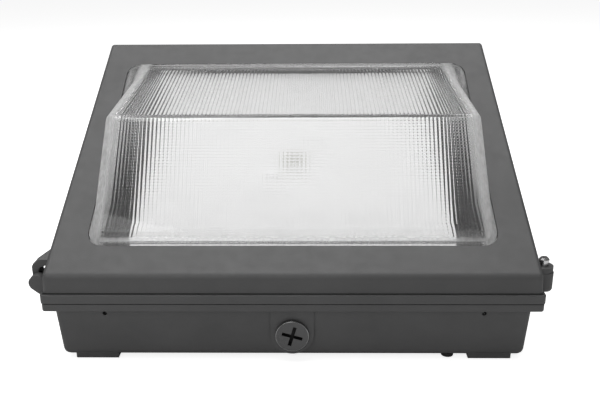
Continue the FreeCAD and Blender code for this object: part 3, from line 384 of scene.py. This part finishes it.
def rounded(across, along, half_low, half_high, low, high, corner):
    """A point of a square, from -1 to 1 each way, taken to a tapered shape with round corners."""
    middle, reach = (low + high) / 2, (high - low) / 2
    up = along * reach
    share = (up + reach) / (2 * reach)
    half = half_low + (half_high - half_low) * share
    x = across * half
    past_x, past_up = abs(x) - (half - corner), abs(up) - (reach - corner)
    if past_x > 0 and past_up > 0:
        shrink = max(past_x, past_up) / math.hypot(past_x, past_up)
        x = math.copysign(half - corner + past_x * shrink, x)
        up = math.copysign(reach - corner + past_up * shrink, up)
    return x, middle + up


def dome_outline(across, along, grow):
    """The outline of the dome, moved out by a distance."""
    return rounded(across, along, DOME_HALF_LOW + grow, DOME_HALF_HIGH + grow, GLASS_LOW - grow,
                   GLASS_HIGH + grow, max(DOME_CORNER + grow, LEAST_CORNER))


def plain_outline(across, along, grow):
    """The upright neck in the opening, or the rim behind the door face."""
    return rounded(across, along, NECK_HALF + grow, NECK_HALF + grow, GLASS_LOW - grow,
                   GLASS_HIGH + grow, NECK_CORNER + grow)


def edge_top(across, along, inset):
    """Height of the roof over the dome's edge, and the radius of its shoulder there."""
    up = dome_outline(across, along, -inset - EDGE_READ)[1]
    top = roof(up) - INNER_DROP * inset
    radius = min(SHOULDER, SHOULDER_SHARE * (top - NECK_OUT + SHOULDER_SPARE))
    return top, max(LEAST_SHOULDER, radius)


def wall_point(across, along, share, inset):
    """Down the side of the glass, from the roof's edge at 0 to the rim's edge at 1."""
    top, radius = edge_top(across, along, inset)
    wall_top = top - radius
    if share <= SHOULDER_END:
        turn = share / SHOULDER_END * math.pi / 2
        x, up = dome_outline(across, along, radius * (math.sin(turn) - 1) - inset)
        return Vector((x, up, wall_top + radius * math.cos(turn)))
    if share <= WALL_END:
        foot = RIM_UNDER if inset else NECK_OUT
        down = (share - SHOULDER_END) / (WALL_END - SHOULDER_END)
        height = wall_top + (foot - wall_top) * down
        x, up = dome_outline(across, along, -inset)
        if not inset:
            flare = eased(1 - (height - NECK_OUT) / FLARE_HEIGHT)
            neck_x, neck_up = plain_outline(across, along, 0)
            x, up = x + (neck_x - x) * flare, up + (neck_up - up) * flare
        return Vector((x, up, height))
    if inset:
        inner = Vector((*dome_outline(across, along, -inset), RIM_UNDER))
        outer = Vector((*plain_outline(across, along, RIM_LIP), RIM_UNDER))
        return inner.lerp(outer, (share - WALL_END) / (1 - WALL_END))
    if share <= NECK_END:
        down = (share - WALL_END) / (NECK_END - WALL_END)
        return Vector((*plain_outline(across, along, 0), NECK_OUT + (RIM_TOP - NECK_OUT) * down))
    out = RIM_LIP * (share - NECK_END) / (1 - NECK_END)
    return Vector((*plain_outline(across, along, out), RIM_TOP))


def roof_point(across, along, inset):
    """A point over the dome. The inner side has the flutes and steps."""
    radius = edge_top(math.copysign(1, across), along, inset)[1]
    x, up = dome_outline(across, along, -radius - inset)
    height = roof(up) - INNER_DROP * inset
    if not inset:
        return Vector((x, up, height))
    half = dome_outline(1, along, -radius - inset)[0]
    full = FLUTE_HALVES * FLUTE_PITCH
    even = abs(across) * full
    if abs(along) < STEADY_LENGTH:
        steady = even
        if even >= STEADY_HALF:
            squeeze = (half - STEADY_HALF) / (full - STEADY_HALF)
            steady = STEADY_HALF + (even - STEADY_HALF) * squeeze
        x = math.copysign(steady, across)
    fade = eased((1 - max(abs(across), abs(along))) / FADE_SHARE)
    to_side = eased((abs(across) - UPPER_SIDE_START) / UPPER_SIDE_SPAN)
    upper = UPPER_FLUTE_DEPTH + (UPPER_SIDE_DEPTH - UPPER_FLUTE_DEPTH) * to_side
    past_ridge = eased((up - RIDGE_UP + DEPTH_CHANGE) / (2 * DEPTH_CHANGE))
    depth = FLUTE_DEPTH + (upper - FLUTE_DEPTH) * past_ridge
    height += fade * depth * wave(even, FLUTE_PITCH)
    if up < RIDGE_UP - STEP_STOP:
        height += fade * STEP_DEPTH * wave(up, STEP_PITCH)
    return Vector((x, up, height))


def spread(stations, count):
    """Where each of the grid's lines falls, by stations of (line, place)."""
    stations = [(0, -1), (BORDER, -1), *stations, (count - BORDER, 1), (count, 1)]
    places = []
    for line in range(count + 1):
        for (line_a, place_a), (line_b, place_b) in zip(stations, stations[1:]):
            if line_a <= line <= line_b:
                share = (line - line_a) / (line_b - line_a)
                places.append(place_a + (place_b - place_a) * share)
                break
    return places


def ridge_stations(line, inset):
    """Close lines on both sides of the ridge, so that it stays crisp."""
    middle = (GLASS_LOW + GLASS_HIGH) / 2
    reach = (GLASS_HIGH - GLASS_LOW) / 2 - SHOULDER - inset
    steps = enumerate(RIDGE_LINES, -(len(RIDGE_LINES) // 2))
    return [(line + step, (RIDGE_UP + off - middle) / reach) for step, off in steps]


def ring_place(line, into, count, places):
    """Where a line of the walls meets the roof's edge, from -1 to 1."""
    share = (line - into) / (count - 2 * into)
    inner = BORDER + share * (count - 2 * BORDER)
    low = min(int(inner), count - BORDER - 1)
    return places[low] + (places[low + 1] - places[low]) * (inner - low)


def glass_skin(columns, rows, ridge_line, inset):
    """One skin of the glass: a grid with its outer lines down the walls and out over the rim."""
    across_places = spread([], columns)
    along_places = spread(ridge_stations(ridge_line, inset), rows)
    skin = bmesh.new()
    bmesh.ops.create_grid(skin, x_segments=columns, y_segments=rows, size=1)
    for vertex in skin.verts:
        i = round((vertex.co.x + 1) / 2 * columns)
        j = round((vertex.co.y + 1) / 2 * rows)
        into = min(i, j, columns - i, rows - j)
        if into >= BORDER:
            vertex.co = roof_point(across_places[i], along_places[j], inset)
            continue
        across = ring_place(i, into, columns, across_places)
        along = ring_place(j, into, rows, along_places)
        vertex.co = wall_point(across, along, 1 - into / BORDER, inset)
    return skin


def finished(shell, name, material, body, replaces=()):
    """Hands a shape over as a piece on its body."""
    bmesh.ops.recalc_face_normals(shell, faces=shell.faces)
    mesh = bpy.data.meshes.new(name)
    shell.to_mesh(mesh)
    shell.free()
    piece = bpy.data.objects.new(name, mesh)
    bpy.context.scene.collection.objects.link(piece)
    mesh.materials.append(material)
    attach(piece, body)
    for node in replaces:
        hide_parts(node)
    return piece


def open_edges(shell):
    return [edge for edge in shell.edges if edge.is_boundary]


def prismatic_glass():
    """Smooth outside, fluted inside, joined round the edge of the rim."""
    columns = 2 * FLUTE_HALVES * FLUTE_COLUMNS + 2 * BORDER
    rows = ROWS_LOW + ROWS_HIGH + 2 * BORDER
    glass = glass_skin(columns, rows, BORDER + ROWS_LOW, GLASS_WALL)
    bmesh.ops.reverse_faces(glass, faces=glass.faces)
    outside_columns, outside_rows = columns // OUTSIDE_SHARE, rows // OUTSIDE_SHARE
    outside = glass_skin(outside_columns, outside_rows, outside_rows // 2 + OUTSIDE_RIDGE_SHIFT, 0)
    bmesh.ops.subdivide_edges(outside, edges=open_edges(outside), cuts=OUTSIDE_SHARE - 1)
    mesh = bpy.data.meshes.new("outside of the glass")
    outside.to_mesh(mesh)
    outside.free()
    glass.from_mesh(mesh)
    bpy.data.meshes.remove(mesh)
    bmesh.ops.bridge_loops(glass, edges=open_edges(glass))
    glass.transform(face_matrix())
    for face in glass.faces:
        face.smooth = True
    finished(glass, "prismatic_glass", GLASS, "door", ["lens"])


prismatic_glass()


# Pieces that ride on the housing

TRAY_HALF = 0.1225
TRAY_END = 0.2152
TRAY_TOP = -0.009
LIP_REACH = 0.0131
LIP_SHEET = 0.0009
LIP_CORNER = 0.005

ENTRY_OUT = 0.0228
LOWER_ENTRY = 0.1136
SIDE_ENTRY = 0.1759
PLUG_SIDES = 72
PLUG_TURN = math.radians(-16)
PLUG_FACE = 0.0028
HEAD_FOOT = 0.0006
SLOT_REACH = 0.0078
SLOT_HALF = 0.0013
SLOT_DEPTH = 0.004
# the plug's rings from its face to the end of its shank, as (radius, height)
PLUG_RINGS = ((0.0119, PLUG_FACE), (0.01213, 0.00272), (0.01226, 0.00255), (0.0123, 0.0023),
              (0.0123, HEAD_FOOT), (0.01055, HEAD_FOOT), (0.01055, -0.0105), (0.00955, -0.0115))
# the bands between the first rings are the head's rolled edge
ROLLED_BANDS = 3
# material slots of a plug, in the order in which its materials are added: paint, painted shade in
# the cross slot, and the rim
PAINT, PAINTED_SHADE, ROLLED = 0, 1, 2


def tray_lip():
    """The white tray's upper lip, which fills the upper part of the window."""
    lip = bmesh.new()
    middle = TRAY_END + LIP_REACH / 2
    bmesh.ops.create_cube(lip, size=1)
    bmesh.ops.scale(lip, vec=(2 * TRAY_HALF, LIP_REACH, LIP_SHEET), verts=lip.verts)
    bmesh.ops.translate(lip, vec=(0, middle, TRAY_TOP - LIP_SHEET / 2), verts=lip.verts)
    far_corners = [edge for edge in lip.edges
                   if all(end.co.y > middle for end in edge.verts)
                   and abs(edge.verts[0].co.z - edge.verts[1].co.z) > LIP_SHEET / 2]
    bmesh.ops.bevel(lip, geom=far_corners, offset=LIP_CORNER, affect="EDGES", segments=6,
                    profile=0.5, material=-1)
    lip.transform(face_matrix())
    finished(lip, "tray_lip", ENAMEL, "housing")


def plug_ring(shell, radius, height):
    """The edges of one ring of the plug, always in the same order."""
    made = bmesh.ops.create_circle(shell, cap_ends=False, radius=radius, segments=PLUG_SIDES,
                                   matrix=Matrix.Translation((0, 0, height)))
    return list(dict.fromkeys(edge for corner in made["verts"] for edge in corner.link_edges))


def cross_mouth(shell):
    """The twelve edges round the mouth of the cross slot."""
    arm = ((SLOT_REACH, -SLOT_HALF), (SLOT_REACH, SLOT_HALF), (SLOT_HALF, SLOT_HALF))
    corners = []
    for quarter in range(4):
        turn = Matrix.Rotation(PLUG_TURN + quarter * math.pi / 2, 3, "Z")
        corners += [shell.verts.new(turn @ Vector((x, y, PLUG_FACE))) for x, y in arm]
    return [shell.edges.new(pair) for pair in zip(corners, corners[1:] + corners[:1])]


def of_kind(parts, kind):
    return [part for part in parts if isinstance(part, kind)]


def painted(faces, slot, smooth=False):
    for face in faces:
        face.material_index, face.smooth = slot, smooth


def filled(shell, edges):
    """Faces that close what the edges enclose."""
    made = bmesh.ops.triangle_fill(shell, edges=edges, use_beauty=True)["geom"]
    return of_kind(made, bmesh.types.BMFace)


def conduit_plug(side, place, turn):
    """Round head with a rolled edge and a deep cross slot, and its shank."""
    shell = bmesh.new()
    rings = [plug_ring(shell, radius, height) for radius, height in PLUG_RINGS]
    for step, (upper, lower) in enumerate(zip(rings, rings[1:])):
        rolled = step < ROLLED_BANDS
        band = bmesh.ops.bridge_loops(shell, edges=upper + lower)["faces"]
        painted(band, ROLLED if rolled else PAINT, rolled)
    mouth = cross_mouth(shell)
    filled(shell, rings[0] + mouth)
    filled(shell, rings[-1])
    # the cross slot's walls and floor are painted near black as shade
    sunk = bmesh.ops.extrude_edge_only(shell, edges=mouth)["geom"]
    painted(of_kind(sunk, bmesh.types.BMFace), PAINTED_SHADE)
    bottom = of_kind(sunk, bmesh.types.BMVert)
    bmesh.ops.translate(shell, vec=(0, 0, -SLOT_DEPTH), verts=bottom)
    ends = set(bottom)
    painted(filled(shell, [edge for edge in shell.edges if set(edge.verts) <= ends]), PAINTED_SHADE)
    shell.transform(Matrix.Translation(place) @ turn)
    plug = finished(shell, side + "_plug_dressed", PLUG_COAT, "housing",
                    [side + "_conduit_plug"])
    plug.data.materials.append(SLOT_SHADE_PAINT)
    plug.data.materials.append(PLUG_RIM)


tray_lip()
for side, place, degrees, axis in (("lower", (0, -LOWER_ENTRY, ENTRY_OUT), 90, "X"),
                                   ("left", (-SIDE_ENTRY, 0, ENTRY_OUT), -90, "Y"),
                                   ("right", (SIDE_ENTRY, 0, ENTRY_OUT), 90, "Y")):
    conduit_plug(side, place, Matrix.Rotation(math.radians(degrees), 4, axis))


# Studio

FLOOR_HALF = 6
FLOOR_GLOW = 0.81
WORLD_LIGHT = 0.14
# the camera that was fitted to the photo: its picture and focal length in pixels, its place in
# metres, and its right, up and viewing directions
PICTURE_WIDTH = 600
FOCAL_PIXELS = 741.6
SENSOR_WIDTH = 36
EYE_PLACE = (0.014434, -0.597545, 0.296534)
EYE_RIGHT = (0.99987656, 0.01434194, -0.00641732)
EYE_UP = (0.00134534, 0.32878226, 0.94440479)
EYE_VIEW = (-0.0156545, 0.94429685, -0.32872238)


def floor():
    """A pale floor that glows for the camera, also through the glass, and keeps the shadow."""
    shell = bmesh.new()
    bmesh.ops.create_grid(shell, x_segments=1, y_segments=1, size=FLOOR_HALF)
    mesh = bpy.data.meshes.new("floor")
    shell.to_mesh(mesh)
    shell.free()
    ground = bpy.data.objects.new("floor", mesh)
    bpy.context.scene.collection.objects.link(ground)
    material = bpy.data.materials.new("pale floor")
    material.use_nodes = True
    nodes, links = material.node_tree.nodes, material.node_tree.links
    shader = nodes["Principled BSDF"]
    shader.inputs["Base Color"].default_value = (*grey(0.8), 1)
    shader.inputs["Roughness"].default_value = 0.9
    shader.inputs["Specular IOR Level"].default_value = 0.0
    shader.inputs["Emission Color"].default_value = (*grey(1), 1)
    rays = nodes.new("ShaderNodeLightPath")
    seen = nodes.new("ShaderNodeMath")
    seen.operation = "MAXIMUM"
    links.new(rays.outputs["Is Camera Ray"], seen.inputs[0])
    links.new(rays.outputs["Is Transmission Ray"], seen.inputs[1])
    glow = nodes.new("ShaderNodeMath")
    glow.operation = "MULTIPLY"
    glow.inputs[1].default_value = FLOOR_GLOW
    links.new(seen.outputs[0], glow.inputs[0])
    links.new(glow.outputs[0], shader.inputs["Emission Strength"])
    mesh.materials.append(material)


def studio_world():
    """White for the camera, and a faint light for the object."""
    world = bpy.data.worlds.new("studio")
    bpy.context.scene.world = world
    world.use_nodes = True
    nodes, links = world.node_tree.nodes, world.node_tree.links
    background = nodes["Background"]
    background.inputs["Color"].default_value = (*grey(1), 1)
    rays = nodes.new("ShaderNodeLightPath")
    level = nodes.new("ShaderNodeMapRange")
    level.inputs["To Min"].default_value = WORLD_LIGHT
    level.inputs["To Max"].default_value = 1.0
    links.new(rays.outputs["Is Camera Ray"], level.inputs["Value"])
    links.new(level.outputs["Result"], background.inputs["Strength"])


def softbox(name, place, target, width, depth, watts):
    light = bpy.data.lights.new(name, "AREA")
    light.shape = "RECTANGLE"
    light.size = width
    light.size_y = depth
    light.energy = watts
    lamp = bpy.data.objects.new(name, light)
    lamp.location = place
    lamp.rotation_euler = (Vector(target) - Vector(place)).to_track_quat("-Z", "Y").to_euler()
    bpy.context.scene.collection.objects.link(lamp)


def camera():
    data = bpy.data.cameras.new("camera")
    data.sensor_width = SENSOR_WIDTH
    data.lens = FOCAL_PIXELS * SENSOR_WIDTH / PICTURE_WIDTH
    data.clip_end = 50
    eye = bpy.data.objects.new("camera", data)
    turned = Matrix((Vector(EYE_RIGHT), Vector(EYE_UP), -Vector(EYE_VIEW))).transposed().to_4x4()
    eye.matrix_world = Matrix.Translation(EYE_PLACE) @ turned
    bpy.context.scene.collection.objects.link(eye)
    bpy.context.scene.camera = eye


floor()
studio_world()
softbox("overhead softbox", (-0.1, 0.15, 1.5), (0, 0, 0), 1.8, 1.4, 22.5)
softbox("front fill", (-0.5, -1.5, 1.0), (0, 0, 0.1), 1.1, 0.8, 5.5)
camera()
bpy.context.scene.view_settings.view_transform = "Standard"
